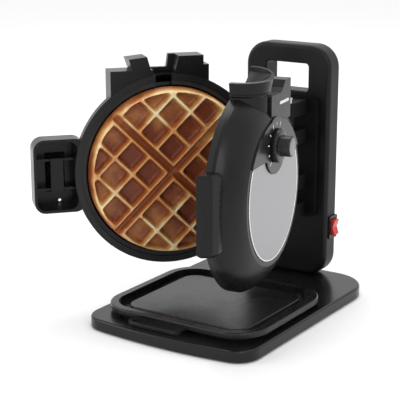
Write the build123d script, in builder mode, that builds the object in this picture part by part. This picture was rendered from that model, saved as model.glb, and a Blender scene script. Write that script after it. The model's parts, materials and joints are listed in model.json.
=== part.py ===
from build123d import *
from math import atan2, cos, radians, sin
import os

# Vertical waffle maker. X to the right, Y to the back, Z up, in millimetres.
# The origin is on the table, under the middle of the tray side of the base.
os.makedirs("parts", exist_ok=True)

# Clearances between pieces
touch_gap = 0.15
curve_gap = 0.3
slide_gap = 0.2
fit_gap = 0.05

# Base
base_width = 204
base_front = -134.5
base_back = 152
base_bow = 9
base_front_corner = 26
base_rear_corner = 44
base_skirt = 2
base_top = 13.5
base_wall = 2.5
base_edge = 2.5
cover_thickness = 2
foot_radius = 9
foot_inset = 27
rear_foot_shift = 6
foot_chamfer = 0.6
cover_screw_side = 46
cover_screw_front = 34.5
cover_screw_rear_side = 58
cover_screw_rear = 28

# Drip tray
tray_width = 190
tray_front = -112
tray_back = 60
tray_corner = 38
tray_rim_height = 23.5
tray_flange = 5.5
tray_floor = 1.8
tray_base_inset = 8
tray_rim_band = 9
tray_moat = 12
tray_panel_drop = 3.6
tab_width = 66
tab_reach = 13
tab_thickness = 4
tab_offset = -14

# Tower
tower_width = 108
tower_front_y = 124
tower_back_y = 150
tower_top = 281
tower_corner = 26
tower_wall = 2.5
tower_edge = 5
tower_cover_depth = 6.5
window_width = 53.6
window_low = 228.6
window_high = 259.8
window_corner = 4

# Power switch on the tower's right side
switch_height = 72
switch_y = 139.5
switch_width = 13
switch_length = 22
bezel_rim = 2.5
bezel_thickness = 2
switch_depth = 15

# Hinge
hinge_x = 22
hinge_y = 85
pin_radius = 3.5
knuckle_radius = 8.5
knuckle_height = 16
knuckle_low = 104
knuckle_high = 205
pin_overhang = 3
bracket_width = 40
bracket_thickness = 7
arm_height = 16

# Cooking heads
head_reach = 132
head_height = 154.5
head_radius = 105
head_depth = 34
face_radius = 76
flank_start = 10
flank_bulge = 4
shell_wall = 2.5
ring_depth = 6
ring_land = 98
parting_gap = 0.6
left_opening = 41
right_turn = -10

# Cooking plates and waffle
cavity_radius = 93
cavity_depth = 16
cavity_draft = 2.5
plate_wall = 3
plate_flange = 2.5
plate_drop = 1.4
cell_pitch = 27
cell_size = 22.5
cell_limit = 86
centre_rib = 5
stud_height = 11
stud_taper = 15
groove_height = 9
groove_width = 7
groove_tip = 0.8
waffle_clearance = 0.8

# Heaters
heater_radius = 66
heater_tube = 3.2
heater_open_angle = 40

# Screws
screw_radius = 1.6
screw_head_radius = 3
screw_head_height = 2
plate_screw_circle = 54
cover_screw_length = 7
cover_screw_head = 1.5

# Trim on the right head
disc_radius = 71
disc_thickness = 1.2
disc_drop = 0.8
chord_height = 36.5
knob_height = 48.5
knob_ring = 29
knob_radius = 17.5
knob_length = 17
knob_shaft = 3
panel_thickness = 2

# Batter funnel
funnel_left = -65
funnel_right = 43
funnel_top = head_radius + 4.5
funnel_low = head_radius - 31
funnel_depth = 26
ear_top = funnel_top + 14
ear_step = 4
channel_neck = head_radius - 10
channel_low = head_radius - 35
channel_left = -22
channel_right = 11
channel_back = 20
gate_half_width = 9
gate_centre = -7
gate_depth = 9
cup_centre = -10
cup_offset = 3.5
cup_radius = 31
cup_wall = 2.5
cup_top = head_radius + 19.5
cup_low_rim = cup_top - 10
cup_lip = 6
neck_radius = 27.5
neck_low = head_radius - 27
bead_height = head_radius - 2
throat_radius = 11
funnel_throat = head_radius - 8
shoulder_end = 46
shoulder_top = head_radius + 5
shoulder_depth = 34
light_middle = 26
light_height = head_radius - 16
light_length = 26
light_width = 3
light_depth = 0.8
light_proud = 0.7
overrun = 5

# Handles
handle_reach = 44
handle_height = 80
handle_depth = 27
handle_corner = 12
handle_wall = 3
catch_reach = 15
catch_height = 80
catch_depth = 18


def head_plane(turn, drop=0.0):
    """Plane through a head's centre, x towards the hinge, y up, z to the right."""
    angle = radians(turn)
    towards = Vector(sin(angle), cos(angle), 0)
    across = Vector(cos(angle), -sin(angle), 0)
    centre = Vector(hinge_x, hinge_y, head_height) - towards * head_reach
    return Plane(origin=centre + across * drop, x_dir=towards, z_dir=across)


def section_plane(turn):
    """Plane that holds a head's axis, x towards the hinge, y to the right."""
    head = head_plane(turn)
    return Plane(origin=head.origin, x_dir=head.x_dir, z_dir=head.y_dir * -1)


def head_axis(turn):
    head = head_plane(turn)
    return Axis(head.origin, head.z_dir)


def base_outline(height, inset=0.0):
    """Outline of the base: bowed front edge, small front and large rear corners."""
    half = base_width / 2
    with BuildSketch(Plane.XY.offset(height)) as outline:
        with BuildLine():
            Polyline(
                (-half, base_front + base_bow),
                (-half, base_back),
                (half, base_back),
                (half, base_front + base_bow),
            )
            ThreePointArc(
                (half, base_front + base_bow), (0, base_front), (-half, base_front + base_bow)
            )
        make_face()
        fillet(outline.vertices().group_by(Axis.Y)[-1], base_rear_corner)
        fillet(outline.vertices().group_by(Axis.Y)[0], base_front_corner)
        if inset > 0:
            offset(amount=-inset)
    return outline.sketch


def tray_outline(height, inset=0.0):
    middle = (tray_front + tray_back) / 2
    length = tray_back - tray_front
    with BuildSketch(Plane.XY.offset(height)) as outline:
        with Locations((0, middle)):
            RectangleRounded(
                tray_width - 2 * inset, length - 2 * inset, tray_corner - inset
            )
    return outline.sketch


def tower_outline(depth_y, inset=0.0):
    """Outline of the tower slab seen from the front, on the plane at this Y."""
    half = tower_width / 2
    with BuildSketch(Plane.XZ.offset(-depth_y)) as outline:
        with BuildLine():
            Polyline((-half, tower_top), (-half, base_top), (half, base_top), (half, tower_top), close=True)
        make_face()
        fillet(outline.vertices().group_by(Axis.Z)[-1], tower_corner)
        if inset > 0:
            offset(amount=-inset)
    return outline.sketch


def window_outline(depth_y, rim=0.0):
    middle = (window_low + window_high) / 2
    height = window_high - window_low
    with BuildSketch(Plane.XZ.offset(-depth_y)) as outline:
        with Locations((0, middle)):
            RectangleRounded(window_width + 2 * rim, height + 2 * rim, window_corner + rim)
    return outline.sketch


def dome_section(turn, side, start, inset=0.0):
    """Half section of a head: straight rim, bulged flank and flat outer face."""
    run = head_radius - face_radius
    rise = head_depth - flank_start
    chord = (run**2 + rise**2) ** 0.5
    arc = chord**2 / (8 * flank_bulge) + flank_bulge / 2
    centre_x = (head_radius + face_radius) / 2 - (arc - flank_bulge) * rise / chord
    centre_y = (head_depth + flank_start) / 2 - (arc - flank_bulge) * run / chord
    arc -= inset
    radius = head_radius - inset
    level = head_depth - inset
    rim_y = centre_y + (arc**2 - (radius - centre_x) ** 2) ** 0.5
    face_x = centre_x + (arc**2 - (level - centre_y) ** 2) ** 0.5
    middle = (atan2(rim_y - centre_y, radius - centre_x) + atan2(level - centre_y, face_x - centre_x)) / 2
    with BuildSketch(section_plane(turn)) as section:
        with BuildLine():
            Polyline((0, side * start), (radius, side * start), (radius, side * rim_y))
            ThreePointArc(
                (radius, side * rim_y),
                (centre_x + arc * cos(middle), side * (centre_y + arc * sin(middle))),
                (face_x, side * level),
            )
            Polyline((face_x, side * level), (0, side * level), (0, side * start))
        make_face()
    return section.sketch


base_screw_places = [
    (-base_width / 2 + cover_screw_side, base_front + cover_screw_front),
    (base_width / 2 - cover_screw_side, base_front + cover_screw_front),
    (-base_width / 2 + cover_screw_rear_side, base_back - cover_screw_rear),
    (base_width / 2 - cover_screw_rear_side, base_back - cover_screw_rear),
]
foot_places = [
    (-base_width / 2 + foot_inset, base_front + foot_inset + base_bow),
    (base_width / 2 - foot_inset, base_front + foot_inset + base_bow),
    (-base_width / 2 + foot_inset + rear_foot_shift, base_back - foot_inset),
    (base_width / 2 - foot_inset - rear_foot_shift, base_back - foot_inset),
]
screw_post_radius = screw_radius + 3

# Base housing, with posts for its bottom cover
with BuildPart() as base_shell:
    extrude(base_outline(base_skirt), amount=base_top - base_skirt)
    fillet(base_shell.faces().sort_by(Axis.Z)[-1].edges(), base_edge)
    extrude(
        base_outline(base_skirt, base_wall),
        amount=base_top - base_wall - base_skirt,
        mode=Mode.SUBTRACT,
    )
    cover_top = base_skirt + 0.5 + cover_thickness
    with BuildSketch(Plane.XY.offset(cover_top)):
        with Locations(*base_screw_places):
            Circle(screw_post_radius)
    extrude(amount=base_top - base_wall - cover_top)
    with BuildSketch(Plane.XY.offset(cover_top)):
        with Locations(*base_screw_places):
            Circle(screw_radius + fit_gap)
    extrude(amount=base_top - base_wall - cover_top - 1, mode=Mode.SUBTRACT)
base_shell.part.label = "base_shell"
export_step(base_shell.part, "parts/base_shell.step")

# Bottom cover, screwed up into the posts
cover_low = base_skirt + 0.5
with BuildPart() as bottom_cover:
    extrude(base_outline(cover_low, base_wall + slide_gap), amount=cover_thickness)
    with BuildSketch(Plane.XY.offset(cover_low)):
        with Locations(*base_screw_places):
            Circle(screw_radius + fit_gap)
    extrude(amount=cover_thickness, mode=Mode.SUBTRACT)
bottom_cover.part.label = "bottom_cover"
export_step(bottom_cover.part, "parts/bottom_cover.step")

# Four rubber feet under the bottom cover
with BuildPart() as rubber_feet:
    with BuildSketch(Plane.XY):
        with Locations(*foot_places):
            Circle(foot_radius)
    extrude(amount=cover_low)
    chamfer(rubber_feet.edges().group_by(Axis.Z)[0], foot_chamfer)
rubber_feet.part.label = "rubber_feet"
export_step(rubber_feet.part, "parts/rubber_feet.step")

# Screws that hold the bottom cover
with BuildPart() as base_screws:
    with BuildSketch(Plane.XY.offset(cover_low)):
        with Locations(*base_screw_places):
            Circle(screw_radius)
    extrude(amount=cover_screw_length)
    with BuildSketch(Plane.XY.offset(cover_low - cover_screw_head)):
        with Locations(*base_screw_places):
            Circle(screw_head_radius)
    extrude(amount=cover_screw_head)
base_screws.part.label = "base_screws"
export_step(base_screws.part, "parts/base_screws.step")

# Drip tray: rim band, moat and raised middle panel, with a pull tab
tray_low = base_top + slide_gap
tray_inner = tray_rim_band + tray_moat
with BuildPart() as drip_tray:
    extrude(tray_outline(tray_rim_height - tray_flange), amount=tray_flange)
    fillet(drip_tray.faces().sort_by(Axis.Z)[-1].edges(), 1.6)
    extrude(
        tray_outline(tray_low, tray_base_inset),
        amount=tray_rim_height - tray_flange - tray_low,
    )
    extrude(
        tray_outline(tray_low + tray_floor, tray_rim_band),
        amount=tray_rim_height,
        mode=Mode.SUBTRACT,
    )
    extrude(
        tray_outline(tray_low + tray_floor, tray_inner),
        amount=tray_rim_height - tray_panel_drop - tray_low - tray_floor,
    )
    fillet(
        drip_tray.faces().filter_by_position(
            Axis.Z, tray_rim_height - tray_panel_drop - 0.01, tray_rim_height - tray_panel_drop + 0.01
        ).edges(),
        1.4,
    )
    with BuildSketch(Plane.XY.offset(tray_rim_height - tray_flange)):
        with Locations((tab_offset, tray_front - tab_reach / 2 + 5)):
            RectangleRounded(tab_width, tab_reach + 10, 8)
    extrude(amount=-tab_thickness)
    with BuildSketch(Plane.XY.offset(tray_rim_height - tray_flange)):
        with Locations((tab_offset, tray_front - tab_reach / 2)):
            RectangleRounded(tab_width - 12, tab_reach - 5, 3.5)
    extrude(amount=-1.5, mode=Mode.SUBTRACT)
drip_tray.part.label = "drip_tray"
export_step(drip_tray.part, "parts/drip_tray.step")

tower_split = tower_front_y + tower_cover_depth
tower_screw_places = [(-42, 40), (42, 40), (-42, 200), (42, 200)]
bracket_screw_places = [
    (hinge_x - 12, knuckle_low + 12),
    (hinge_x + 12, knuckle_low + 12),
    (hinge_x - 12, knuckle_high - 12),
    (hinge_x + 12, knuckle_high - 12),
]

# Tower front cover, with the front half of the carrying handle's window
with BuildPart() as tower_front:
    extrude(tower_outline(tower_front_y), amount=-tower_cover_depth)
    fillet(tower_front.faces().sort_by(Axis.Y)[0].edges().sort_by(Axis.Z)[1:], tower_edge)
    extrude(
        tower_outline(tower_split, tower_wall),
        amount=tower_cover_depth - tower_wall,
        mode=Mode.SUBTRACT,
    )
    extrude(
        window_outline(tower_split, tower_wall),
        amount=tower_cover_depth - tower_wall,
    )
    extrude(window_outline(tower_split), amount=tower_cover_depth, mode=Mode.SUBTRACT)
    fillet(
        tower_front.faces().sort_by(Axis.Y)[0].inner_wires()[0].edges(), 1.8
    )
    with BuildSketch(Plane.XZ.offset(-tower_split)):
        with Locations(*bracket_screw_places):
            Circle(screw_radius + fit_gap)
    extrude(amount=tower_cover_depth, mode=Mode.SUBTRACT)
tower_front.part.label = "tower_front"
export_step(tower_front.part, "parts/tower_front.step")

# Tower rear housing, with the switch opening and the cord inlet
cord_height = 34
cord_bore = 3.6
gland_barrel = 6
rear_depth = tower_back_y - tower_split
with BuildPart() as tower_rear:
    extrude(tower_outline(tower_back_y), amount=rear_depth)
    fillet(tower_rear.faces().sort_by(Axis.Y)[-1].edges().sort_by(Axis.Z)[1:], tower_edge)
    extrude(
        tower_outline(tower_back_y - tower_wall, tower_wall),
        amount=rear_depth - tower_wall,
        mode=Mode.SUBTRACT,
    )
    extrude(
        window_outline(tower_back_y - tower_wall, tower_wall),
        amount=rear_depth - tower_wall,
    )
    extrude(window_outline(tower_back_y), amount=rear_depth, mode=Mode.SUBTRACT)
    fillet(tower_rear.faces().sort_by(Axis.Y)[-1].inner_wires()[0].edges(), 1.8)
    with BuildSketch(Plane.XZ.offset(-tower_back_y + tower_wall)):
        with Locations(*tower_screw_places):
            Circle(screw_post_radius)
    extrude(amount=rear_depth - tower_wall)
    with BuildSketch(Plane.XZ.offset(-tower_back_y)):
        with Locations(*tower_screw_places):
            Circle(screw_radius + fit_gap)
    extrude(amount=rear_depth, mode=Mode.SUBTRACT)
    with BuildSketch(Plane.XZ.offset(-tower_back_y)):
        with Locations(*tower_screw_places):
            Circle(screw_head_radius + fit_gap)
    extrude(amount=screw_head_height, mode=Mode.SUBTRACT)
    with BuildSketch(Plane.XZ.offset(-tower_back_y)):
        with Locations((0, cord_height)):
            Circle(gland_barrel + fit_gap)
    extrude(amount=tower_wall, mode=Mode.SUBTRACT)
    with BuildSketch(Plane.YZ.offset(tower_width / 2)):
        with Locations((switch_y, switch_height)):
            Rectangle(switch_width + 2 * slide_gap, switch_length + 2 * slide_gap)
    extrude(amount=-tower_wall, mode=Mode.SUBTRACT)
tower_rear.part.label = "tower_rear"
export_step(tower_rear.part, "parts/tower_rear.step")

# Four screws through the rear housing's posts
with BuildPart() as tower_screws:
    with BuildSketch(Plane.XZ.offset(-tower_back_y)):
        with Locations(*tower_screw_places):
            Circle(screw_radius)
    extrude(amount=rear_depth - 1)
    with BuildSketch(Plane.XZ.offset(-tower_back_y)):
        with Locations(*tower_screw_places):
            Circle(screw_head_radius)
    extrude(amount=screw_head_height)
tower_screws.part.label = "tower_screws"
export_step(tower_screws.part, "parts/tower_screws.step")

# Bushing where the cord enters the tower
with BuildPart() as cord_gland:
    with BuildSketch(Plane.XZ.offset(-tower_back_y)):
        with Locations((0, cord_height)):
            Circle(gland_barrel)
    extrude(amount=tower_wall + 5)
    with BuildSketch(Plane.XZ.offset(-tower_back_y)):
        with Locations((0, cord_height)):
            Circle(gland_barrel + 2)
    extrude(amount=-2)
    with BuildSketch(Plane.XZ.offset(-tower_back_y - 2)):
        with Locations((0, cord_height)):
            Circle(cord_bore)
    extrude(amount=tower_wall + 7, mode=Mode.SUBTRACT)
cord_gland.part.label = "cord_gland"
export_step(cord_gland.part, "parts/cord_gland.step")

# Switch body with its bezel, pressed into the tower's right side
switch_face = tower_width / 2
with BuildPart() as switch_body:
    with BuildSketch(Plane.YZ.offset(switch_face)):
        with Locations((switch_y, switch_height)):
            Rectangle(switch_width, switch_length)
    extrude(amount=-switch_depth)
    with BuildSketch(Plane.YZ.offset(switch_face)):
        with Locations((switch_y, switch_height)):
            RectangleRounded(switch_width + 2 * bezel_rim, switch_length + 2 * bezel_rim, 2.5)
    extrude(amount=bezel_thickness)
    with BuildSketch(Plane.YZ.offset(switch_face + bezel_thickness)):
        with Locations((switch_y, switch_height)):
            Rectangle(switch_width - 2, switch_length - 2)
    extrude(amount=-switch_depth + 2, mode=Mode.SUBTRACT)
switch_body.part.label = "switch_body"
export_step(switch_body.part, "parts/switch_body.step")

# Rocker: a shallow V that tips about a pivot across the switch
rocker_half = (switch_length - 2) / 2 - 0.7
rocker_pivot = switch_face - 3
rocker_radius = 13
with BuildPart() as power_rocker:
    with BuildSketch(Plane.XZ.offset(-switch_y)) as rocker_profile:
        with BuildLine():
            Polyline(
                (rocker_pivot - 4, switch_height - 4),
                (rocker_pivot + 5, switch_height - rocker_half + 0.4),
                (rocker_pivot + 9.5, switch_height - rocker_half + 1),
                (rocker_pivot + 6.8, switch_height),
                (rocker_pivot + 9.5, switch_height + rocker_half - 1),
                (rocker_pivot + 5, switch_height + rocker_half - 0.4),
                (rocker_pivot - 4, switch_height + 4),
                close=True,
            )
        make_face()
    extrude(amount=(switch_width - 2) / 2 - slide_gap, both=True)
power_rocker.part.label = "power_rocker"
export_step(power_rocker.part, "parts/power_rocker.step")

# Hinge bracket: a plate on the tower, two lugs with the pin's bores, and two
# arms that pass the pin and hold the right head
right_head = head_plane(right_turn)
left_head = head_plane(left_opening)
arm_low = knuckle_low + knuckle_height + slide_gap
arm_high = knuckle_high - knuckle_height - slide_gap
lug_levels = [knuckle_low - slide_gap - arm_height, arm_low, arm_high - arm_height, knuckle_high + slide_gap]
arm_end = 86
arm_bend = 113
arm_depth = 20
with BuildPart() as hinge_bracket:
    with BuildSketch(Plane.XZ.offset(-tower_front_y)):
        with Locations((hinge_x, (knuckle_low + knuckle_high) / 2)):
            RectangleRounded(bracket_width, knuckle_high - knuckle_low + 2 * arm_height + 4, 5)
    extrude(amount=bracket_thickness)
    for level in lug_levels:
        with BuildSketch(Plane.XY.offset(level)):
            with Locations((hinge_x, hinge_y)):
                Circle(knuckle_radius)
            with Locations((hinge_x, (hinge_y + tower_front_y - bracket_thickness) / 2)):
                Rectangle(2 * knuckle_radius, tower_front_y - bracket_thickness - hinge_y)
        extrude(amount=arm_height)
    for level in lug_levels[1:3]:
        arm_section = Plane(
            origin=(hinge_x, hinge_y, level), x_dir=right_head.x_dir, z_dir=(0, 0, 1)
        )
        with BuildSketch(arm_section):
            with BuildLine():
                Polyline(
                    (2, -knuckle_radius),
                    (-head_reach + arm_bend, -arm_depth),
                    (-head_reach + arm_end, -arm_depth),
                    (-head_reach + arm_end, -parting_gap),
                    (2, -parting_gap),
                    close=True,
                )
            make_face()
        extrude(amount=arm_height)
    revolve(
        dome_section(right_turn, 1, -1, -touch_gap), axis=head_axis(right_turn), mode=Mode.SUBTRACT
    )
    with BuildSketch(Plane.XY.offset(lug_levels[0] - 1)):
        with Locations((hinge_x, hinge_y)):
            Circle(pin_radius + fit_gap)
    extrude(amount=knuckle_high - knuckle_low + 4 * arm_height, mode=Mode.SUBTRACT)
    with BuildSketch(Plane.XZ.offset(-tower_front_y)):
        with Locations(*bracket_screw_places):
            Circle(screw_radius + fit_gap)
    extrude(amount=bracket_thickness - 1, mode=Mode.SUBTRACT)
hinge_bracket.part.label = "hinge_bracket"
export_step(hinge_bracket.part, "parts/hinge_bracket.step")

# Steel pin through lugs, arms and knuckles, with a cap pressed on each end
pin_low = lug_levels[0]
pin_high = lug_levels[3] + arm_height
with BuildPart() as hinge_pin:
    with BuildSketch(Plane.XY.offset(pin_low - pin_overhang)):
        with Locations((hinge_x, hinge_y)):
            Circle(pin_radius)
    extrude(amount=pin_high - pin_low + 2 * pin_overhang)
hinge_pin.part.label = "hinge_pin"
export_step(hinge_pin.part, "parts/hinge_pin.step")

with BuildPart() as pin_caps:
    for level in (pin_low - touch_gap, pin_high + touch_gap + pin_overhang + 2):
        with BuildSketch(Plane.XY.offset(level)):
            with Locations((hinge_x, hinge_y)):
                Circle(pin_radius + 3)
        extrude(amount=-pin_overhang - 2)
    for level in (pin_low - touch_gap, pin_high + touch_gap + pin_overhang):
        with BuildSketch(Plane.XY.offset(level)):
            with Locations((hinge_x, hinge_y)):
                Circle(pin_radius + 0.01)
        extrude(amount=-pin_overhang, mode=Mode.SUBTRACT)
pin_caps.part.label = "pin_caps"
export_step(pin_caps.part, "parts/pin_caps.step")

# Screws from inside the tower into the bracket
with BuildPart() as bracket_screws:
    with BuildSketch(Plane.XZ.offset(-tower_front_y - tower_wall)):
        with Locations(*bracket_screw_places):
            Circle(screw_radius)
    extrude(amount=tower_wall + bracket_thickness - 2)
    with BuildSketch(Plane.XZ.offset(-tower_front_y - tower_wall - screw_head_height)):
        with Locations(*bracket_screw_places):
            Circle(screw_head_radius)
    extrude(amount=screw_head_height)
bracket_screws.part.label = "bracket_screws"
export_step(bracket_screws.part, "parts/bracket_screws.step")

# The two cooking heads: the right one is fixed, the left one swings
ring_top = parting_gap / 2 + ring_depth
flange_low = parting_gap / 2 + plate_drop
floor_level = cavity_depth
plate_back = floor_level + plate_wall
ring_ledge = cavity_radius + plate_wall + curve_gap
flange_radius = ring_land - curve_gap
floor_radius = cavity_radius - cavity_draft
shell_inner = head_depth - shell_wall
boss_top = plate_back + 2
post_radius = screw_radius + 3
plate_screw_places = [
    (plate_screw_circle * cos(radians(angle)), plate_screw_circle * sin(radians(angle)))
    for angle in (30, 150, 270)
]
pocket_steps = [centre_rib + cell_pitch * (step + 0.5) for step in range(3)]
cell_places = []
for quarter in range(4):
    for along in pocket_steps:
        for across in pocket_steps:
            if along + across < 2 * pocket_steps[2]:
                spot = Vector(along, across, 0).rotate(Axis.Z, 45 + 90 * quarter)
                cell_places.append(Location((spot.X, spot.Y, 0), (0, 0, 45)))


def cells(level_plane, grow=0.0):
    """The grid's cells in four quarters, clipped by the rim of the waffle."""
    with BuildSketch(level_plane) as grid:
        with Locations(*cell_places):
            Rectangle(cell_size + 2 * grow, cell_size + 2 * grow)
        Circle(cell_limit + grow, mode=Mode.INTERSECT)
    return grid.sketch


def inward_plane(turn, side, depth):
    """Plane at this depth in a head, looking back at the parting plane."""
    level = head_plane(turn, side * depth)
    return Plane(origin=level.origin, x_dir=level.x_dir, z_dir=level.z_dir * -side)


heads = [("left", left_opening, -1), ("right", right_turn, 1)]
for name, turn, side in heads:
    # Domed outer shell, moulded, with posts for the plate's screws
    with BuildPart() as shell:
        revolve(dome_section(turn, side, ring_top), axis=head_axis(turn))
        revolve(
            dome_section(turn, side, ring_top - 1, shell_wall), axis=head_axis(turn), mode=Mode.SUBTRACT
        )
        with BuildSketch(head_plane(turn, side * boss_top)):
            with Locations(*plate_screw_places):
                Circle(post_radius)
        extrude(amount=side * (shell_inner - boss_top))
        with BuildSketch(head_plane(turn, side * head_depth)):
            Circle(disc_radius + curve_gap)
        extrude(amount=-side * disc_drop, mode=Mode.SUBTRACT)
        with BuildSketch(head_plane(turn, side * boss_top)):
            with Locations(*plate_screw_places):
                Circle(screw_radius + fit_gap)
        extrude(amount=side * (head_depth - boss_top), mode=Mode.SUBTRACT)
        with BuildSketch(head_plane(turn, side * head_depth)):
            with Locations(*plate_screw_places):
                Circle(screw_head_radius + fit_gap)
        extrude(amount=-side * (disc_drop + screw_head_height + touch_gap), mode=Mode.SUBTRACT)
        with BuildSketch(head_plane(turn, 0)):
            with Locations((gate_centre, head_radius)):
                Rectangle(2 * gate_half_width, head_radius / 2)
        extrude(amount=side * gate_depth, mode=Mode.SUBTRACT)
        if side > 0:
            with BuildSketch(head_plane(turn, side * head_depth)):
                with Locations((0, knob_height)):
                    Circle(knob_shaft + curve_gap)
            extrude(amount=-side * (shell_wall + 1), mode=Mode.SUBTRACT)
    shell.part.label = name + "_shell"
    export_step(shell.part, "parts/" + name + "_shell.step")

    # Flat rim ring that clamps the plate's flange to the shell
    with BuildPart() as rim_ring:
        with BuildSketch(section_plane(turn)):
            with BuildLine():
                Polyline(
                    (ring_land, side * parting_gap / 2),
                    (head_radius, side * parting_gap / 2),
                    (head_radius, side * ring_top),
                    (ring_ledge, side * ring_top),
                    (ring_ledge, side * (flange_low + plate_flange)),
                    (ring_land, side * (flange_low + plate_flange)),
                    close=True,
                )
            make_face()
        revolve(axis=head_axis(turn))
        with BuildSketch(head_plane(turn, 0)):
            with Locations((gate_centre, head_radius)):
                Rectangle(2 * gate_half_width, head_radius / 2)
        extrude(amount=side * gate_depth, mode=Mode.SUBTRACT)
    rim_ring.part.label = name + "_rim_ring"
    export_step(rim_ring.part, "parts/" + name + "_rim_ring.step")

    # Cast cooking plate: cavity with draft, ribs and studs that form the waffle
    with BuildPart() as cooking_plate:
        with BuildSketch(section_plane(turn)):
            with BuildLine():
                Polyline(
                    (0, side * floor_level),
                    (floor_radius, side * floor_level),
                    (cavity_radius, side * flange_low),
                    (flange_radius, side * flange_low),
                    (flange_radius, side * (flange_low + plate_flange)),
                    (cavity_radius + plate_wall, side * (flange_low + plate_flange)),
                    (floor_radius + plate_wall, side * plate_back),
                    (0, side * plate_back),
                    close=True,
                )
            make_face()
        revolve(axis=head_axis(turn))
        extrude(cells(inward_plane(turn, side, floor_level)), amount=stud_height, taper=stud_taper)
        for angle in (45, 135):
            rib_plane = head_plane(turn, side * floor_level)
            direction = rib_plane.x_dir.rotate(Axis(rib_plane.origin, rib_plane.z_dir), angle)
            rib_end = Plane(
                origin=rib_plane.origin - direction * (floor_radius - 2),
                x_dir=(rib_plane.z_dir * -side).cross(direction),
                z_dir=direction,
            )
            with BuildSketch(rib_end):
                with BuildLine():
                    Polyline(
                        (-groove_width / 2, 0),
                        (-groove_tip, groove_height),
                        (groove_tip, groove_height),
                        (groove_width / 2, 0),
                        close=True,
                    )
                make_face()
            extrude(amount=2 * (floor_radius - 2))
        with BuildSketch(head_plane(turn, side * plate_back)):
            with Locations(*plate_screw_places):
                Circle(post_radius)
        extrude(amount=side * (boss_top - touch_gap - plate_back))
        with BuildSketch(head_plane(turn, side * boss_top)):
            with Locations(*plate_screw_places):
                Circle(screw_radius + fit_gap)
        extrude(amount=-side * (boss_top - floor_level - 1), mode=Mode.SUBTRACT)
        with BuildSketch(head_plane(turn, 0)):
            with Locations((gate_centre, cavity_radius)):
                Rectangle(2 * gate_half_width, 16)
        extrude(amount=side * gate_depth, mode=Mode.SUBTRACT)
    cooking_plate.part.label = name + "_cooking_plate"
    export_step(cooking_plate.part, "parts/" + name + "_cooking_plate.step")

    # Tubular heating element behind the plate, open towards the hinge
    with BuildPart() as heater:
        with BuildSketch(section_plane(turn)):
            with Locations((heater_radius, side * (plate_back + touch_gap + heater_tube))):
                Circle(heater_tube)
        revolve(axis=head_axis(turn), revolution_arc=360 - heater_open_angle)
    heater.part.label = name + "_heater"
    export_step(heater.part, "parts/" + name + "_heater.step")

    # Three screws from the shell into the plate, hidden under the face disc
    screw_seat = head_depth - disc_drop - screw_head_height - touch_gap
    with BuildPart() as plate_screws:
        with BuildSketch(head_plane(turn, side * screw_seat)):
            with Locations(*plate_screw_places):
                Circle(screw_head_radius)
        extrude(amount=side * screw_head_height)
        with BuildSketch(head_plane(turn, side * screw_seat)):
            with Locations(*plate_screw_places):
                Circle(screw_radius)
        extrude(amount=-side * (screw_seat - floor_level - 1.5))
    plate_screws.part.label = name + "_plate_screws"
    export_step(plate_screws.part, "parts/" + name + "_plate_screws.step")

    # Stainless disc on the outer face; the right one is cut away round the dial
    with BuildPart() as face_disc:
        with BuildSketch(head_plane(turn, side * (head_depth - disc_drop))):
            Circle(disc_radius)
            if side > 0:
                with Locations((0, chord_height + disc_radius)):
                    Rectangle(2 * disc_radius, 2 * disc_radius, mode=Mode.SUBTRACT)
                with Locations((0, knob_height)):
                    Circle(knob_ring + curve_gap, mode=Mode.SUBTRACT)
        extrude(amount=side * disc_thickness)
    face_disc.part.label = name + "_face_disc"
    export_step(face_disc.part, "parts/" + name + "_face_disc.step")

# Funnel block on top of the left head: ears and a channel, open to the right head
with BuildPart() as left_funnel:
    with BuildSketch(head_plane(left_opening, -parting_gap / 2)):
        with BuildLine():
            Polyline(
                (funnel_left, funnel_low),
                (funnel_left, funnel_top),
                (-41, funnel_top),
                (-45, ear_top - 2),
                (-25, ear_top),
                (-21, funnel_top),
                (1, funnel_top),
                (3, ear_top),
                (37, ear_top),
                (37, funnel_top + ear_step),
                (funnel_right, funnel_top + ear_step),
                (funnel_right, funnel_low),
                close=True,
            )
        make_face()
    extrude(amount=-funnel_depth)
    with BuildSketch(head_plane(left_opening)):
        with BuildLine():
            Polyline(
                (channel_left, ear_top + overrun),
                (gate_centre - gate_half_width, channel_neck),
                (gate_centre - gate_half_width, channel_low),
                (gate_centre + gate_half_width, channel_low),
                (gate_centre + gate_half_width, channel_neck),
                (channel_right, ear_top + overrun),
                close=True,
            )
        make_face()
    extrude(amount=-channel_back, mode=Mode.SUBTRACT)
    revolve(
        dome_section(left_opening, -1, -1, -touch_gap), axis=head_axis(left_opening), mode=Mode.SUBTRACT
    )
left_funnel.part.label = "left_funnel"
export_step(left_funnel.part, "parts/left_funnel.step")

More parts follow.
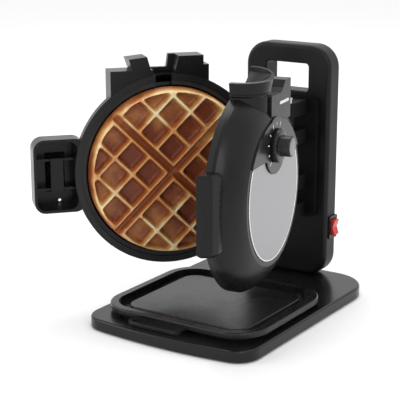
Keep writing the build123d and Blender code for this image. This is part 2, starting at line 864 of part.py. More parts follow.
# Swing arms of the left head: two knuckles on the pin, joined by a strap
left_levels = [knuckle_low, knuckle_high - knuckle_height]
with BuildPart() as left_hinge_arm:
    for level in left_levels:
        arm_section = Plane(origin=(hinge_x, hinge_y, level), x_dir=left_head.x_dir, z_dir=(0, 0, 1))
        with BuildSketch(arm_section):
            Circle(knuckle_radius)
            with BuildLine():
                Polyline(
                    (2, knuckle_radius),
                    (-head_reach + arm_bend, arm_depth),
                    (-head_reach + arm_end, arm_depth),
                    (-head_reach + arm_end, parting_gap),
                    (2, parting_gap),
                    close=True,
                )
            make_face()
        extrude(amount=knuckle_height)
    strap_section = Plane(origin=(hinge_x, hinge_y, knuckle_low), x_dir=left_head.x_dir, z_dir=(0, 0, 1))
    with BuildSketch(strap_section):
        with Locations((-head_reach + arm_bend - 4, arm_depth - 3)):
            Rectangle(8, 6)
    extrude(amount=knuckle_high - knuckle_low)
    with BuildSketch(Plane.XY.offset(knuckle_low - 1)):
        with Locations((hinge_x, hinge_y)):
            Circle(pin_radius + fit_gap)
    extrude(amount=knuckle_high - knuckle_low + 2, mode=Mode.SUBTRACT)
    revolve(
        dome_section(left_opening, -1, -1, -touch_gap), axis=head_axis(left_opening), mode=Mode.SUBTRACT
    )
left_hinge_arm.part.label = "left_hinge_arm"
export_step(left_hinge_arm.part, "parts/left_hinge_arm.step")

# Neck and shoulder of the funnel on the right head, up to the bead under the cup
cup_origin = right_head.from_local_coords(Vector(cup_centre, 0, cup_offset))
cup_axis = Axis(cup_origin, right_head.y_dir)
cup_section = Plane(origin=cup_origin, x_dir=right_head.z_dir, z_dir=right_head.x_dir * -1)
with BuildPart() as right_funnel:
    with BuildSketch(cup_section):
        with BuildLine():
            Polyline(
                (0, neck_low),
                (neck_radius, neck_low),
                (neck_radius, bead_height - 3),
                (neck_radius + 1, bead_height - 1.5),
                (neck_radius + 1, bead_height),
                (0, bead_height),
                close=True,
            )
        make_face()
    revolve(axis=cup_axis)
    with BuildSketch(head_plane(right_turn)):
        with BuildLine():
            Polyline(
                (cup_centre, neck_low),
                (cup_centre, bead_height - 4),
                (cup_centre + cup_radius - 3, bead_height - 4),
                (cup_centre + cup_radius + 2, bead_height),
                (shoulder_end - 16, shoulder_top),
                (shoulder_end, shoulder_top),
                (shoulder_end, neck_low - 8),
                (cup_centre + neck_radius, neck_low - 8),
                close=True,
            )
        make_face()
    extrude(amount=shoulder_depth)
    with BuildSketch(head_plane(right_turn, parting_gap / 2)):
        with Locations((0, head_radius)):
            Rectangle(2 * head_radius, head_radius)
    extrude(amount=-2 * cup_radius, mode=Mode.SUBTRACT)
    with BuildSketch(Plane(origin=cup_origin, x_dir=right_head.x_dir, z_dir=(0, 0, 1)).offset(funnel_throat)):
        Circle(throat_radius)
    extrude(amount=head_radius, mode=Mode.SUBTRACT)
    with BuildSketch(head_plane(right_turn)):
        with Locations((gate_centre, head_radius)):
            Rectangle(2 * gate_half_width, 2 * (head_radius - funnel_throat) - 1)
    extrude(amount=gate_depth, mode=Mode.SUBTRACT)
    revolve(
        dome_section(right_turn, 1, -1, -touch_gap), axis=head_axis(right_turn), mode=Mode.SUBTRACT
    )
    with BuildSketch(head_plane(right_turn, shoulder_depth)):
        with Locations((light_middle, light_height)):
            RectangleRounded(light_length + 2 * fit_gap, light_width + 2 * fit_gap, light_width / 2)
    extrude(amount=-light_depth, mode=Mode.SUBTRACT)
right_funnel.part.label = "right_funnel"
export_step(right_funnel.part, "parts/right_funnel.step")

# Lens strip of the ready light, set into the shoulder
with BuildPart() as status_light:
    with BuildSketch(head_plane(right_turn, shoulder_depth - light_depth)):
        with Locations((light_middle, light_height)):
            RectangleRounded(light_length, light_width, light_width / 2 - fit_gap)
    extrude(amount=light_depth + light_proud)
status_light.part.label = "status_light"
export_step(status_light.part, "parts/status_light.step")

# Flared half-round cup that takes the batter, its rim rising towards the hinge
with BuildPart() as pouring_cup:
    with BuildSketch(cup_section):
        with BuildLine():
            Polyline(
                (throat_radius, bead_height + touch_gap),
                (neck_radius + 0.5, bead_height + touch_gap),
                (neck_radius + 1.5, bead_height + cup_lip),
                (cup_radius, cup_top - cup_lip),
                (cup_radius, cup_top + 1),
                (cup_radius - cup_wall, cup_top + 1),
                (cup_radius - cup_wall, cup_top - cup_lip),
                (throat_radius, bead_height + 3),
                close=True,
            )
        make_face()
    revolve(axis=cup_axis)
    with BuildSketch(head_plane(right_turn, parting_gap / 2)):
        with Locations((0, head_radius)):
            Rectangle(2 * head_radius, head_radius)
    extrude(amount=-2 * cup_radius, mode=Mode.SUBTRACT)
    with BuildSketch(head_plane(right_turn)):
        with BuildLine():
            Polyline(
                (cup_centre - cup_radius - overrun, cup_low_rim),
                (cup_centre, cup_low_rim + 1),
                (cup_centre + cup_radius + overrun, cup_top),
                (cup_centre + cup_radius + overrun, cup_top + overrun),
                (cup_centre - cup_radius - overrun, cup_top + overrun),
                close=True,
            )
        make_face()
    extrude(amount=2 * cup_radius, mode=Mode.SUBTRACT)
    revolve(
        dome_section(right_turn, 1, -1, -touch_gap), axis=head_axis(right_turn), mode=Mode.SUBTRACT
    )
pouring_cup.part.label = "pouring_cup"
export_step(pouring_cup.part, "parts/pouring_cup.step")

# Catch block on the right head's free edge, which meets the handle when closed
with BuildPart() as right_catch:
    with BuildSketch(section_plane(right_turn)):
        with BuildLine():
            Polyline(
                (-head_radius + 8, parting_gap / 2),
                (-head_radius - catch_reach, parting_gap / 2),
                (-head_radius - catch_reach, 6),
                (-head_radius - catch_reach + 5, catch_depth - 3),
                (-head_radius - 2, catch_depth),
                (-head_radius + 8, catch_depth),
                close=True,
            )
        make_face()
    extrude(amount=catch_height / 2, both=True)
    chamfer(right_catch.faces().sort_by(Axis.Z)[-1].edges(), 3)
    chamfer(right_catch.faces().sort_by(Axis.Z)[0].edges(), 3)
    revolve(
        dome_section(right_turn, 1, -1, -touch_gap), axis=head_axis(right_turn), mode=Mode.SUBTRACT
    )
right_catch.part.label = "right_catch"
export_step(right_catch.part, "parts/right_catch.step")

# Opening handle on the left head: a deep shell, open towards the right head
handle_middle = -head_radius - handle_reach / 2 + 6
handle_rib = handle_height / 4 - 4
with BuildPart() as left_handle:
    with BuildSketch(head_plane(left_opening, -parting_gap / 2)):
        with Locations((handle_middle, 0)):
            RectangleRounded(handle_reach + 12, handle_height, handle_corner)
    extrude(amount=-handle_depth)
    fillet(left_handle.faces().sort_by(Axis((0, 0, 0), left_head.z_dir))[0].edges(), 5)
    with BuildSketch(head_plane(left_opening, -parting_gap / 2)):
        with Locations((handle_middle - 3, 0)):
            RectangleRounded(
                handle_reach + 6 - 2 * handle_wall,
                handle_height - 2 * handle_wall,
                handle_corner - handle_wall,
            )
    extrude(amount=-handle_depth + handle_wall, taper=6, mode=Mode.SUBTRACT)
    with BuildSketch(head_plane(left_opening, -handle_depth + 1)):
        with Locations((handle_middle - 2, 0)):
            Rectangle(22, 44)
    extrude(amount=handle_depth - 10, taper=14)
    with BuildSketch(head_plane(left_opening, -handle_depth + 1)):
        with Locations((handle_middle - 2, -handle_rib), (handle_middle - 2, handle_rib)):
            Rectangle(handle_reach, 2.5)
    extrude(amount=handle_depth - 12)
    with BuildSketch(head_plane(left_opening, -parting_gap / 2)):
        with Locations((-head_radius - 13.5, -handle_height / 2 + 8)):
            Circle(screw_radius + fit_gap)
    extrude(amount=-handle_depth - 1, mode=Mode.SUBTRACT)
    revolve(
        dome_section(left_opening, -1, -1, -touch_gap), axis=head_axis(left_opening), mode=Mode.SUBTRACT
    )
left_handle.part.label = "left_handle"
export_step(left_handle.part, "parts/left_handle.step")

# Waffle, baked between the plates and still lying in the left one
waffle_radius = cavity_radius - waffle_clearance
waffle_half = cavity_depth - waffle_clearance
pocket_level = cavity_depth - stud_height - waffle_clearance
with BuildPart() as waffle:
    with BuildSketch(section_plane(left_opening)):
        with BuildLine():
            Polyline(
                (0, -waffle_half),
                (waffle_radius - cavity_draft - 2.5, -waffle_half),
                (waffle_radius - cavity_draft, -waffle_half + 2.5),
                (waffle_radius - 0.3, 0),
                (waffle_radius - cavity_draft, waffle_half - 2.5),
                (waffle_radius - cavity_draft - 2.5, waffle_half),
                (0, waffle_half),
                close=True,
            )
        make_face()
    revolve(axis=head_axis(left_opening))
    for face_side in (-1, 1):
        top = inward_plane(left_opening, face_side, waffle_half)
        extrude(
            cells(top, waffle_clearance),
            amount=waffle_half - pocket_level,
            taper=stud_taper,
            mode=Mode.SUBTRACT,
        )
        for angle in (45, 135):
            direction = top.x_dir.rotate(Axis(top.origin, top.z_dir), angle)
            groove_end = Plane(
                origin=top.origin - direction * (waffle_radius + 1),
                x_dir=top.z_dir.cross(direction),
                z_dir=direction,
            )
            with BuildSketch(groove_end):
                with BuildLine():
                    Polyline(
                        (-groove_width / 2 - waffle_clearance, 0),
                        (-groove_tip - waffle_clearance, groove_height),
                        (groove_tip + waffle_clearance, groove_height),
                        (groove_width / 2 + waffle_clearance, 0),
                        close=True,
                    )
                make_face()
            extrude(amount=2 * waffle_radius + 2, mode=Mode.SUBTRACT)
waffle.part.label = "waffle"
export_step(waffle.part, "parts/waffle.step")

# Thermostat behind the right shell, with its shaft through the dial panel
thermostat_front = shell_inner - touch_gap
shaft_length = 14
with BuildPart() as thermostat:
    with BuildSketch(head_plane(right_turn, plate_back + touch_gap)):
        with Locations((0, knob_height)):
            Rectangle(20, 20)
    extrude(amount=thermostat_front - plate_back - touch_gap)
    with BuildSketch(head_plane(right_turn, thermostat_front)):
        with Locations((0, knob_height)):
            Circle(knob_shaft)
    extrude(amount=shaft_length)
thermostat.part.label = "thermostat"
export_step(thermostat.part, "parts/thermostat.step")

# Black dial panel above the disc
with BuildPart() as dial_panel:
    with BuildSketch(head_plane(right_turn, head_depth)):
        Circle(face_radius - 1)
        with Locations((0, chord_height + curve_gap - 2 * disc_radius)):
            Rectangle(4 * disc_radius, 4 * disc_radius, mode=Mode.SUBTRACT)
        with Locations((0, knob_height)):
            Circle(knob_ring)
        with Locations((0, knob_height)):
            Circle(knob_shaft + curve_gap, mode=Mode.SUBTRACT)
    extrude(amount=panel_thickness)
dial_panel.part.label = "dial_panel"
export_step(dial_panel.part, "parts/dial_panel.step")

# Dial knob: round skirt, tapered grip across it
knob_base = head_depth + panel_thickness + slide_gap
with BuildPart() as dial_knob:
    with BuildSketch(head_plane(right_turn, knob_base)):
        with Locations((0, knob_height)):
            Circle(knob_radius)
    extrude(amount=7, taper=4)
    with BuildSketch(head_plane(right_turn, knob_base + 6)):
        with Locations((0, knob_height)):
            RectangleRounded(11, 2 * knob_radius - 3, 5)
    extrude(amount=knob_length - 6, taper=5)
    with BuildSketch(head_plane(right_turn, knob_base)):
        with Locations((0, knob_height)):
            Circle(knob_shaft + fit_gap)
    extrude(amount=knob_length - 4, mode=Mode.SUBTRACT)
dial_knob.part.label = "dial_knob"
export_step(dial_knob.part, "parts/dial_knob.step")
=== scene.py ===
import json
import math

import bmesh
import bpy
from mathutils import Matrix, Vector


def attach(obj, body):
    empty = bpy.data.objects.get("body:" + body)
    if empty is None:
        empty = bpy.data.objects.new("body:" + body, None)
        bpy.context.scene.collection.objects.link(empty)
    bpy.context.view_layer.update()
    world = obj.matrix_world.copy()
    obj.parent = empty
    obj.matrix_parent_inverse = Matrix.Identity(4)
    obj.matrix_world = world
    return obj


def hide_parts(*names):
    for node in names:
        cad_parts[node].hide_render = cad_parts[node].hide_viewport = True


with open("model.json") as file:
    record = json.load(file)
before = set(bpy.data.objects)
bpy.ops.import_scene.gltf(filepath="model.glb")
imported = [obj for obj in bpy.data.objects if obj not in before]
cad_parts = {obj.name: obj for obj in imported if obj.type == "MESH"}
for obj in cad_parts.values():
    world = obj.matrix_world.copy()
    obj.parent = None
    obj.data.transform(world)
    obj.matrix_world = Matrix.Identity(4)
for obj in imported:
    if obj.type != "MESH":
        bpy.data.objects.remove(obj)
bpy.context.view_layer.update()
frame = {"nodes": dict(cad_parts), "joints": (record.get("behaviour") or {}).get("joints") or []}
nodes = frame["nodes"]


# Base housing: one injection-moulded shell of gloss black plastic, open below.
# Moulded plastic has a fine grain in its skin and a gloss that varies a little
# from place to place, and most of the black pieces share that effect.
def shader_group(name, inputs, outputs):
    """An empty node group with float inputs and the named outputs."""
    group = bpy.data.node_groups.new(name, "ShaderNodeTree")
    for label, value in inputs:
        socket = group.interface.new_socket(label, in_out="INPUT", socket_type="NodeSocketFloat")
        socket.default_value = value
    for label, kind in outputs:
        group.interface.new_socket(label, in_out="OUTPUT", socket_type=kind)
    return group


def add(tree, kind, **settings):
    """One node; a setting is a socket's value, or a property where no socket has the name."""
    node = tree.nodes.new(kind)
    for key, value in settings.items():
        if key in node.inputs.keys():
            node.inputs[key].default_value = value
        else:
            setattr(node, key, value)
    return node


def map_range(tree, source, low, high, from_low=0.0, from_high=1.0):
    """Carries a value from one span to another."""
    node = add(tree, "ShaderNodeMapRange")
    node.inputs["From Min"].default_value = from_low
    node.inputs["From Max"].default_value = from_high
    node.inputs["To Min"].default_value = low
    node.inputs["To Max"].default_value = high
    tree.links.new(source, node.inputs["Value"])
    return node


def ramp(tree, source, stops):
    """Colour from a value, by (place, colour) stops."""
    node = tree.nodes.new("ShaderNodeValToRGB")
    elements = node.color_ramp.elements
    elements[0].position, elements[0].color = stops[0][0], (*stops[0][1], 1)
    elements[1].position, elements[1].color = stops[-1][0], (*stops[-1][1], 1)
    for place, colour in stops[1:-1]:
        elements.new(place).color = (*colour, 1)
    tree.links.new(source, node.inputs["Fac"])
    return node.outputs["Color"]


def blank_material(name):
    """A new material and its shader."""
    material = bpy.data.materials.new(name)
    material.use_nodes = True
    return material, material.node_tree.nodes["Principled BSDF"]


def moulding_group():
    """Grain of moulded plastic: a fine texture in the normal, and uneven gloss."""
    group = shader_group(
        "moulding_grain",
        [
            ("Grain Scale", 900.0),
            ("Grain Depth", 0.1),
            ("Gloss Low", 0.2),
            ("Gloss High", 0.3),
        ],
        [
            ("Normal", "NodeSocketVector"),
            ("Roughness", "NodeSocketFloat"),
            ("Cloud", "NodeSocketFloat"),
        ],
    )
    link = group.links.new
    enter = group.nodes.new("NodeGroupInput")
    leave = group.nodes.new("NodeGroupOutput")
    place = add(group, "ShaderNodeTexCoord")
    grain = add(group, "ShaderNodeTexNoise", Detail=3.0, Roughness=0.6)
    link(place.outputs["Object"], grain.inputs["Vector"])
    link(enter.outputs["Grain Scale"], grain.inputs["Scale"])
    bump = add(group, "ShaderNodeBump", Distance=0.0002)
    link(enter.outputs["Grain Depth"], bump.inputs["Strength"])
    link(grain.outputs["Fac"], bump.inputs["Height"])
    cloud = add(group, "ShaderNodeTexNoise", Scale=22.0, Detail=5.0, Roughness=0.65)
    link(place.outputs["Object"], cloud.inputs["Vector"])
    spread = map_range(group, cloud.outputs["Fac"], 0.0, 1.0, 0.3, 0.7)
    link(enter.outputs["Gloss Low"], spread.inputs["To Min"])
    link(enter.outputs["Gloss High"], spread.inputs["To Max"])
    link(bump.outputs["Normal"], leave.inputs["Normal"])
    link(spread.outputs["Result"], leave.inputs["Roughness"])
    link(cloud.outputs["Fac"], leave.inputs["Cloud"])
    return group


moulding_grain = moulding_group()


def plastic(name, dark, light, low, high, scale=900.0, depth=0.1, shine=0.22):
    """Moulding in two close tones, with its roughness between low and high."""
    material, surface = blank_material(name)
    tree = material.node_tree
    grain = add(tree, "ShaderNodeGroup", node_tree=moulding_grain)
    grain.inputs["Grain Scale"].default_value = scale
    grain.inputs["Grain Depth"].default_value = depth
    grain.inputs["Gloss Low"].default_value = low
    grain.inputs["Gloss High"].default_value = high
    tone = ramp(tree, grain.outputs["Cloud"], [(0.3, dark), (0.7, light)])
    tree.links.new(tone, surface.inputs["Base Color"])
    tree.links.new(grain.outputs["Roughness"], surface.inputs["Roughness"])
    tree.links.new(grain.outputs["Normal"], surface.inputs["Normal"])
    surface.inputs["Specular IOR Level"].default_value = shine
    return material


def dress(material, *names):
    """Puts a material on these CAD nodes in place of the one they came with."""
    for name in names:
        mesh = nodes[name].data
        mesh.materials.clear()
        mesh.materials.append(material)


base_gloss = plastic(
    "base_gloss", (0.0045, 0.0045, 0.005), (0.007, 0.007, 0.0075), 0.16, 0.26, shine=0.3
)
dress(base_gloss, "base_shell")

# Bottom cover, feet and inlet bushing: the cover is a plain matt black moulding,
# screwed up into the housing, with four soft rubber pads under it. The bushing at
# the back of the tower is of the same chalky rubber.
cover_matt = plastic("cover_matt", (0.012, 0.012, 0.012), (0.018, 0.018, 0.018), 0.55, 0.7)
dress(cover_matt, "bottom_cover")
foot_rubber = plastic(
    "foot_rubber", (0.02, 0.02, 0.02), (0.04, 0.04, 0.039), 0.7, 0.85, scale=1500.0, depth=0.4
)
dress(foot_rubber, "rubber_feet", "cord_gland")

# Drip tray: a separate gloss black moulding that lies on the base and lifts off.
# It is a little duller and greyer than the base, from wiping.
tray_gloss = plastic(
    "tray_gloss", (0.005, 0.005, 0.0055), (0.009, 0.009, 0.0095), 0.2, 0.34, shine=0.4
)
dress(tray_gloss, "drip_tray")

# Tower: two satin black mouldings, screwed together from behind.
# Their grain is finer and deeper than the base's, and they shine less.
tower_satin = plastic(
    "tower_satin", (0.0035, 0.0035, 0.0038), (0.006, 0.006, 0.0063), 0.34, 0.44,
    scale=1300.0, depth=0.18,
)
dress(tower_satin, "tower_front", "tower_rear")

# Head shells, handle, catch and funnels: satin black heat-proof plastic.
# The funnels, the catch and the handle are mouldings of their own on the heads'
# rims, and their outer corners are eased, as a mould leaves them.
head_satin = plastic(
    "head_satin", (0.0045, 0.0045, 0.0048), (0.0075, 0.0075, 0.0078), 0.22, 0.32,
    scale=1100.0, depth=0.12,
)
eased_pieces = ("right_funnel", "left_funnel", "right_catch", "left_handle")
dress(head_satin, "left_shell", "right_shell", "pouring_cup", *eased_pieces)
corner_ease = 0.0009
for piece in eased_pieces:
    corner = nodes[piece].modifiers.new("eased", "BEVEL")
    corner.width = corner_ease
    corner.segments = 3
    corner.limit_method = "ANGLE"
    corner.angle_limit = math.radians(40)

# Rim rings: flat satin black rings that clamp the cooking plates' flanges to the
# shells. They are a tone lighter than the shells.
rim_satin = plastic(
    "rim_satin", (0.007, 0.0073, 0.0076), (0.011, 0.0113, 0.0116), 0.28, 0.4, shine=0.3
)
dress(rim_satin, "left_rim_ring", "right_rim_ring")

# Dial panel and switch bezel: smooth black mouldings, a little glossier than the
# shells. The panel lies above the steel disc, and the bezel is pressed into the
# tower's side.
dial_satin = plastic(
    "dial_satin", (0.006, 0.006, 0.0063), (0.01, 0.01, 0.0104), 0.2, 0.28, shine=0.3
)
dress(dial_satin, "dial_panel", "switch_body")


# Steel discs, pin, screws and heaters: brushed stainless sheet pressed into the
# shells, and bright turned or drawn steel for the small parts. The brush lines
# run level and are too fine to see one by one.
def brushed_steel(name, colour, low, high):
    """Steel with level brush lines and its roughness between low and high."""
    material, surface = blank_material(name)
    tree = material.node_tree
    link = tree.links.new
    place = add(tree, "ShaderNodeTexCoord")
    stretch = add(tree, "ShaderNodeMapping")
    stretch.inputs["Scale"].default_value = (30.0, 30.0, 2200.0)
    link(place.outputs["Object"], stretch.inputs["Vector"])
    lines = add(tree, "ShaderNodeTexNoise", Scale=1.0, Detail=4.0)
    link(stretch.outputs["Vector"], lines.inputs["Vector"])
    gloss = map_range(tree, lines.outputs["Fac"], low, high)
    link(gloss.outputs["Result"], surface.inputs["Roughness"])
    line_tone = [c * 0.92 for c in colour]
    tone = ramp(tree, lines.outputs["Fac"], [(0.3, line_tone), (0.7, colour)])
    link(tone, surface.inputs["Base Color"])
    bump = add(tree, "ShaderNodeBump", Strength=0.06, Distance=0.0001)
    link(lines.outputs["Fac"], bump.inputs["Height"])
    link(bump.outputs["Normal"], surface.inputs["Normal"])
    surface.inputs["Metallic"].default_value = 1.0
    return material


disc_steel = brushed_steel("disc_steel", (0.34, 0.34, 0.35), 0.26, 0.42)
dress(disc_steel, "left_face_disc", "right_face_disc")
plain_steel = brushed_steel("plain_steel", (0.6, 0.6, 0.61), 0.25, 0.35)
dress(
    plain_steel,
    "hinge_pin", "pin_caps", "base_screws", "tower_screws", "bracket_screws",
    "left_plate_screws", "right_plate_screws", "left_heater", "right_heater",
)

# Hinge bracket and swing arm: cast metal with a black powder coat.
# The bracket is screwed to the tower, and the arm turns on the pin.
powder_coat = plastic(
    "powder_coat", (0.0035, 0.0035, 0.0035), (0.006, 0.006, 0.006), 0.5, 0.65,
    scale=700.0, depth=0.5, shine=0.1,
)
dress(powder_coat, "hinge_bracket", "left_hinge_arm")

# Cooking plates: cast aluminium with a dark non-stick coat.
# The coat is sprayed on, so it is slightly rough and not quite even.
nonstick = plastic(
    "nonstick", (0.012, 0.012, 0.012), (0.03, 0.029, 0.028), 0.38, 0.5,
    scale=1600.0, depth=0.25,
)
dress(nonstick, "left_cooking_plate", "right_cooking_plate")

# Power rocker: a glossy red moulding that tips in the switch body.
# It is the only coloured piece of the appliance.
rocker_red = plastic(
    "rocker_red", (0.42, 0.012, 0.01), (0.62, 0.03, 0.02), 0.12, 0.2,
    scale=600.0, depth=0.05, shine=0.5,
)
dress(rocker_red, "power_rocker")

# Ready light and thermostat: a pale lens strip set into the funnel's shoulder,
# and the pale ceramic body of the thermostat, which is hidden in the right head.
light_lens = plastic("light_lens", (0.62, 0.62, 0.62), (0.74, 0.74, 0.74), 0.2, 0.3)
dress(light_lens, "status_light")
ceramic = plastic("ceramic", (0.7, 0.66, 0.58), (0.8, 0.77, 0.7), 0.4, 0.5)
dress(ceramic, "thermostat")

# Waffle: baked batter, lying in the left plate. The CAD solid is the sharp space
# between the plates. The baked one has soft ridges and has shrunk a little from
# the plates; it is browned, paler at the rim and in islands, and its colour has
# painted shade that darkens its pockets and leaves the ridge tops lighter.
joints = {joint["name"]: joint for joint in frame["joints"]}
hinge_place = Vector(joints["left_head_hinge"]["pos_m"])
head_reach = 0.132
left_turn = 41
waffle_mesh = nodes["waffle"].data.copy()
waffle = bpy.data.objects.new("baked_waffle", waffle_mesh)
bpy.context.collection.objects.link(waffle)
weld = waffle.modifiers.new("weld", "WELD")
weld.merge_threshold = 0.00002
voxel = waffle.modifiers.new("voxel", "REMESH")
voxel.mode = "VOXEL"
voxel.voxel_size = 0.0011
smooth = waffle.modifiers.new("smooth", "SMOOTH")
smooth.factor = 0.5
smooth.iterations = 5
settled = waffle.modifiers.new("settled", "DISPLACE")
settled.strength = -0.0007
settled.mid_level = 0.0


def head_directions(degrees):
    """A head's outward and hinge-ward directions, from its turn about the pin."""
    turn = math.radians(degrees)
    return (
        Vector((math.cos(turn), -math.sin(turn), 0)),
        Vector((math.sin(turn), math.cos(turn), 0)),
    )


def sum_of(tree, first, second):
    """Adds two linked values."""
    node = add(tree, "ShaderNodeMath", operation="ADD")
    tree.links.new(first, node.inputs[0])
    tree.links.new(second, node.inputs[1])
    return node.outputs[0]


def waffle_material():
    """Crust paler in islands and near the rim; its grading by height over the parting plane is
    painted shade, darkest in the pockets.
    """
    out_of_plane, to_hinge = head_directions(left_turn)
    middle = hinge_place - to_hinge * head_reach
    material, surface = blank_material("baked_batter")
    tree = material.node_tree
    link = tree.links.new
    place = add(tree, "ShaderNodeTexCoord")
    across = add(tree, "ShaderNodeVectorMath", operation="DOT_PRODUCT")
    across.inputs[1].default_value = out_of_plane
    link(place.outputs["Object"], across.inputs[0])
    depth = add(tree, "ShaderNodeMath", operation="SUBTRACT")
    depth.inputs[1].default_value = hinge_place.dot(out_of_plane)
    link(across.outputs["Value"], depth.inputs[0])
    height = add(tree, "ShaderNodeMath", operation="ABSOLUTE")
    link(depth.outputs[0], height.inputs[0])
    patches = add(tree, "ShaderNodeTexNoise", Scale=55.0, Detail=6.0, Roughness=0.6)
    link(place.outputs["Object"], patches.inputs["Vector"])
    wander = map_range(tree, patches.outputs["Fac"], -0.0035, 0.0035)
    total = sum_of(tree, height.outputs[0], wander.outputs["Result"])
    # The height here gives painted shade, darkest in the pockets and lightest on the ridge tops;
    # the noise adds uneven browning.
    share = map_range(tree, total, 0.0, 1.0, 0.003, 0.0155)
    # Both ramps run from painted pocket shade up to lighter ridge tops; the well-baked one is
    # browner, the under-baked one paler.
    browned_and_shaded = ramp(
        tree,
        share.outputs["Result"],
        [
            (0.0, (0.17, 0.036, 0.011)),
            (0.3, (0.28, 0.065, 0.016)),
            (0.7, (0.44, 0.14, 0.035)),
            (0.92, (0.6, 0.3, 0.11)),
            (1.0, (0.74, 0.5, 0.25)),
        ],
    )
    pale_and_shaded = ramp(
        tree,
        share.outputs["Result"],
        [
            (0.0, (0.36, 0.12, 0.03)),
            (0.3, (0.5, 0.22, 0.06)),
            (0.7, (0.66, 0.42, 0.16)),
            (0.9, (0.82, 0.66, 0.38)),
            (1.0, (0.88, 0.78, 0.52)),
        ],
    )
    away = add(tree, "ShaderNodeVectorMath", operation="DISTANCE")
    away.inputs[1].default_value = middle
    link(place.outputs["Object"], away.inputs[0])
    islands = add(tree, "ShaderNodeTexNoise", Scale=26.0, Detail=4.0, Roughness=0.62)
    link(place.outputs["Object"], islands.inputs["Vector"])
    drift = map_range(tree, islands.outputs["Fac"], -0.055, 0.055, 0.3, 0.7)
    edge_sum = sum_of(tree, away.outputs["Value"], drift.outputs["Result"])
    under_baked = map_range(tree, edge_sum, 0.0, 1.0, 0.055, 0.1)
    crust = add(tree, "ShaderNodeMix", data_type="RGBA")
    # The Mix node's colour sockets share their names with others, so they go by place.
    first_colour, second_colour, mixed_colour = 6, 7, 2
    link(under_baked.outputs["Result"], crust.inputs["Factor"])
    link(browned_and_shaded, crust.inputs[first_colour])
    link(pale_and_shaded, crust.inputs[second_colour])
    link(crust.outputs[mixed_colour], surface.inputs["Base Color"])
    crumb = add(tree, "ShaderNodeTexNoise", Scale=420.0, Detail=5.0, Roughness=0.7)
    link(place.outputs["Object"], crumb.inputs["Vector"])
    bump = add(tree, "ShaderNodeBump", Strength=0.35, Distance=0.0006)
    link(crumb.outputs["Fac"], bump.inputs["Height"])
    link(bump.outputs["Normal"], surface.inputs["Normal"])
    surface.inputs["Roughness"].default_value = 0.42
    surface.inputs["Subsurface Weight"].default_value = 0.08
    surface.inputs["Subsurface Radius"].default_value = (0.004, 0.002, 0.001)
    return material


waffle_mesh.materials.clear()
waffle_mesh.materials.append(waffle_material())
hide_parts("waffle")
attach(waffle, "left_head")

# Dial marks: eleven white ticks, long and short by turns, printed round the knob
# over the span that it turns. They stand a hair over the panel, as thick ink does.
mark_white = plastic("mark_white", (0.7, 0.7, 0.7), (0.8, 0.8, 0.8), 0.4, 0.5)
right_turn = -10
outward, towards = head_directions(right_turn)
upward = Vector((0, 0, 1))
right_centre = hinge_place - towards * head_reach
knob_height = 0.0485
mark_level = 0.03615
mark_radius = 0.0205
mark_lengths = (0.0045, 0.003)
mark_half_width = 0.0005
mark_half_depth = 0.0001
mark_count = 11
mark_first, mark_last = joints["knob_turn"]["range_deg"]
mark_step = (mark_last - mark_first) / (mark_count - 1)
knob_middle = right_centre + upward * knob_height + outward * mark_level


def make_object(name, edit):
    """A new object from a bmesh, which is freed."""
    mesh = bpy.data.meshes.new(name)
    edit.to_mesh(mesh)
    edit.free()
    body = bpy.data.objects.new(name, mesh)
    bpy.context.collection.objects.link(body)
    return body


mark_edit = bmesh.new()
for step in range(mark_count):
    turn = math.radians(mark_first + mark_step * step)
    out_from = upward * math.cos(turn) + towards * math.sin(turn)
    side_way = towards * math.cos(turn) - upward * math.sin(turn)
    length = mark_lengths[step % 2]
    middle = knob_middle + out_from * (mark_radius + length / 2)
    corners = []
    for along in (-1, 1):
        for sideways in (-1, 1):
            for proud in (-1, 1):
                spot = middle + out_from * (along * length / 2)
                spot += side_way * (sideways * mark_half_width)
                spot += outward * (proud * mark_half_depth)
                corners.append(mark_edit.verts.new(spot))
    bmesh.ops.convex_hull(mark_edit, input=corners)
dial_marks = make_object("dial_marks", mark_edit)
dial_marks.data.materials.append(mark_white)
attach(dial_marks, "stand")


# Dial knob: a turned moulding with a skirt and a round grip, pushed on the shaft.
# A thin spun aluminium cap is set into its end.
# Both are bodies of revolution, given by (radius, height) pairs in millimetres.
def smooth_faces(edit):
    """Turns all faces outwards and shades them smooth."""
    bmesh.ops.recalc_face_normals(edit, faces=edit.faces)
    for face in edit.faces:
        face.smooth = True


def turned(name, profile, middle, steps=72):
    """A closed body of revolution about the right head's outward direction."""
    edit = bmesh.new()
    rings = []
    for radius, height in profile:
        spot = middle + outward * (height / 1000)
        if radius == 0:
            rings.append([edit.verts.new(spot)])
            continue
        ring = []
        for step in range(steps):
            turn = math.tau * step / steps
            away = upward * math.cos(turn) + towards * math.sin(turn)
            ring.append(edit.verts.new(spot + away * (radius / 1000)))
        rings.append(ring)
    for low, high in zip(rings, rings[1:]):
        for step in range(steps):
            after = (step + 1) % steps
            if len(low) == 1:
                edit.faces.new((low[0], high[step], high[after]))
            elif len(high) == 1:
                edit.faces.new((low[step], low[after], high[0]))
            else:
                edit.faces.new((low[step], low[after], high[after], high[step]))
    smooth_faces(edit)
    body = make_object(name, edit)
    body.data.set_sharp_from_angle(angle=math.radians(35))
    return body


knob_gap = 0.00005
knob_seat = knob_middle + outward * knob_gap
knob_profile = [
    (0, 0), (17.1, 0), (17.4, 0.5), (17.3, 4.4), (16.9, 5.2), (16.0, 5.6),
    (11.4, 5.8), (10.9, 6.3), (10.7, 8), (10.4, 15.9), (10.0, 16.5), (9.2, 16.8),
    (0, 16.8),
]
turned_knob = turned("turned_knob", knob_profile, knob_seat)
turned_knob.data.materials.append(dial_satin)
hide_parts("dial_knob")
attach(turned_knob, "knob")
cap_profile = [(0, 16.5), (8.6, 16.5), (8.6, 16.85), (8.3, 17.0), (0, 17.0)]
knob_cap = turned("knob_cap", cap_profile, knob_seat)
knob_cap.data.materials.append(brushed_steel("cap_metal", (0.3, 0.3, 0.31), 0.35, 0.5))
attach(knob_cap, "knob")

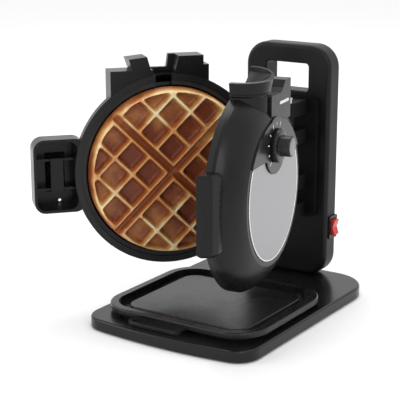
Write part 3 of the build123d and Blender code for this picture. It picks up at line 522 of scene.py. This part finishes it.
# Rolled edge of the right steel disc: the border of the sheet, turned over and
# polished. It runs round the disc below the dial panel, with a low rounded
# section given by (across, proud) pairs in millimetres.
edge_radius = 0.0700
edge_level = 0.0344
edge_section = [(0.9, 0.0), (0.55, 0.3), (0.0, 0.42), (-0.55, 0.3), (-0.9, 0.0), (0, -0.1)]
edge_steps = 120
chord_height = 0.0362
disc_radius = 0.0708
chord_angle = math.asin(chord_height / disc_radius)
edge_edit = bmesh.new()
edge_rings = []
for step in range(edge_steps + 1):
    turn = math.pi - chord_angle + (math.pi + 2 * chord_angle) * step / edge_steps
    away = towards * math.cos(turn) + upward * math.sin(turn)
    ring = []
    for breadth, proud in edge_section:
        spot = right_centre + away * (edge_radius + breadth / 1000)
        spot += outward * (edge_level + proud / 1000)
        ring.append(edge_edit.verts.new(spot))
    edge_rings.append(ring)
for low, high in zip(edge_rings, edge_rings[1:]):
    for corner in range(len(edge_section)):
        after = (corner + 1) % len(edge_section)
        edge_edit.faces.new((low[corner], low[after], high[after], high[corner]))
edge_edit.faces.new(edge_rings[0])
edge_edit.faces.new(edge_rings[-1])
smooth_faces(edge_edit)
disc_edge = make_object("disc_edge", edge_edit)
disc_edge.data.materials.append(brushed_steel("polished_edge", (0.86, 0.86, 0.87), 0.08, 0.16))
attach(disc_edge, "stand")

# Studio: a pale floor, white surroundings and three large soft lights.
# The surroundings light the floor to white, and the lights give the highlights.
floor_edit = bmesh.new()
bmesh.ops.create_grid(floor_edit, x_segments=1, y_segments=1, size=6)
floor = make_object("floor", floor_edit)
floor_white, floor_surface = blank_material("floor_white")
floor_surface.inputs["Base Color"].default_value = (0.93, 0.93, 0.93, 1)
floor_surface.inputs["Roughness"].default_value = 0.9
floor.data.materials.append(floor_white)

world = bpy.data.worlds.new("studio")
world.use_nodes = True
surroundings = world.node_tree.nodes["Background"]
surroundings.inputs["Color"].default_value = (1, 1, 1, 1)
surroundings.inputs["Strength"].default_value = 1.0
bpy.context.scene.world = world


def soft_light(name, place, aim, size, power):
    """A rectangular lamp at a place, aimed at a point; the power is in watts."""
    light = bpy.data.lights.new(name, "AREA")
    light.shape = "RECTANGLE"
    light.size, light.size_y = size
    light.energy = power
    lamp = bpy.data.objects.new(name, light)
    lamp.location = place
    lamp.rotation_euler = (Vector(aim) - Vector(place)).to_track_quat("-Z", "Y").to_euler()
    bpy.context.collection.objects.link(lamp)


soft_light("key", (1.6, -1.2, 1.5), (0, 0, 0.12), (0.8, 1.2), 9)
soft_light("fill", (-1.8, -1.4, 1.0), (0, 0, 0.12), (0.9, 1.2), 9)
soft_light("top", (-0.3, 0.6, 1.9), (0, 0, 0.1), (1.2, 1.0), 12)

# Camera: its place and turn were solved from the photo. It is 1.33 m from the
# target, turned 32 degrees and tilted 15 down. In the photo the target lies a
# little off the middle, so the camera is aimed beside it by as much.
target = Vector((0, 0, 0.130))
target_pixel = (228.3, 196.5)
distance = 1.3291
look = Vector((-0.511, 0.8216, -0.252))
across_view = Vector((0.849, 0.528, 0))
up_view = Vector((-0.133, 0.214, 0.9675))
focal_pixels = 1237.2
photo_pixels = 400
middle_pixel = photo_pixels / 2
camera_data = bpy.data.cameras.new("camera")
camera_data.sensor_width = 36
camera_data.lens = round(camera_data.sensor_width * focal_pixels / photo_pixels, 2)
camera = bpy.data.objects.new("camera", camera_data)
bpy.context.collection.objects.link(camera)
aim = (
    look
    + across_view * ((middle_pixel - target_pixel[0]) / focal_pixels)
    - up_view * ((middle_pixel - target_pixel[1]) / focal_pixels)
)
camera.location = target - look * distance
camera.rotation_euler = aim.to_track_quat("-Z", "Y").to_euler()
bpy.context.scene.camera = camera
bpy.context.scene.view_settings.view_transform = "Standard"
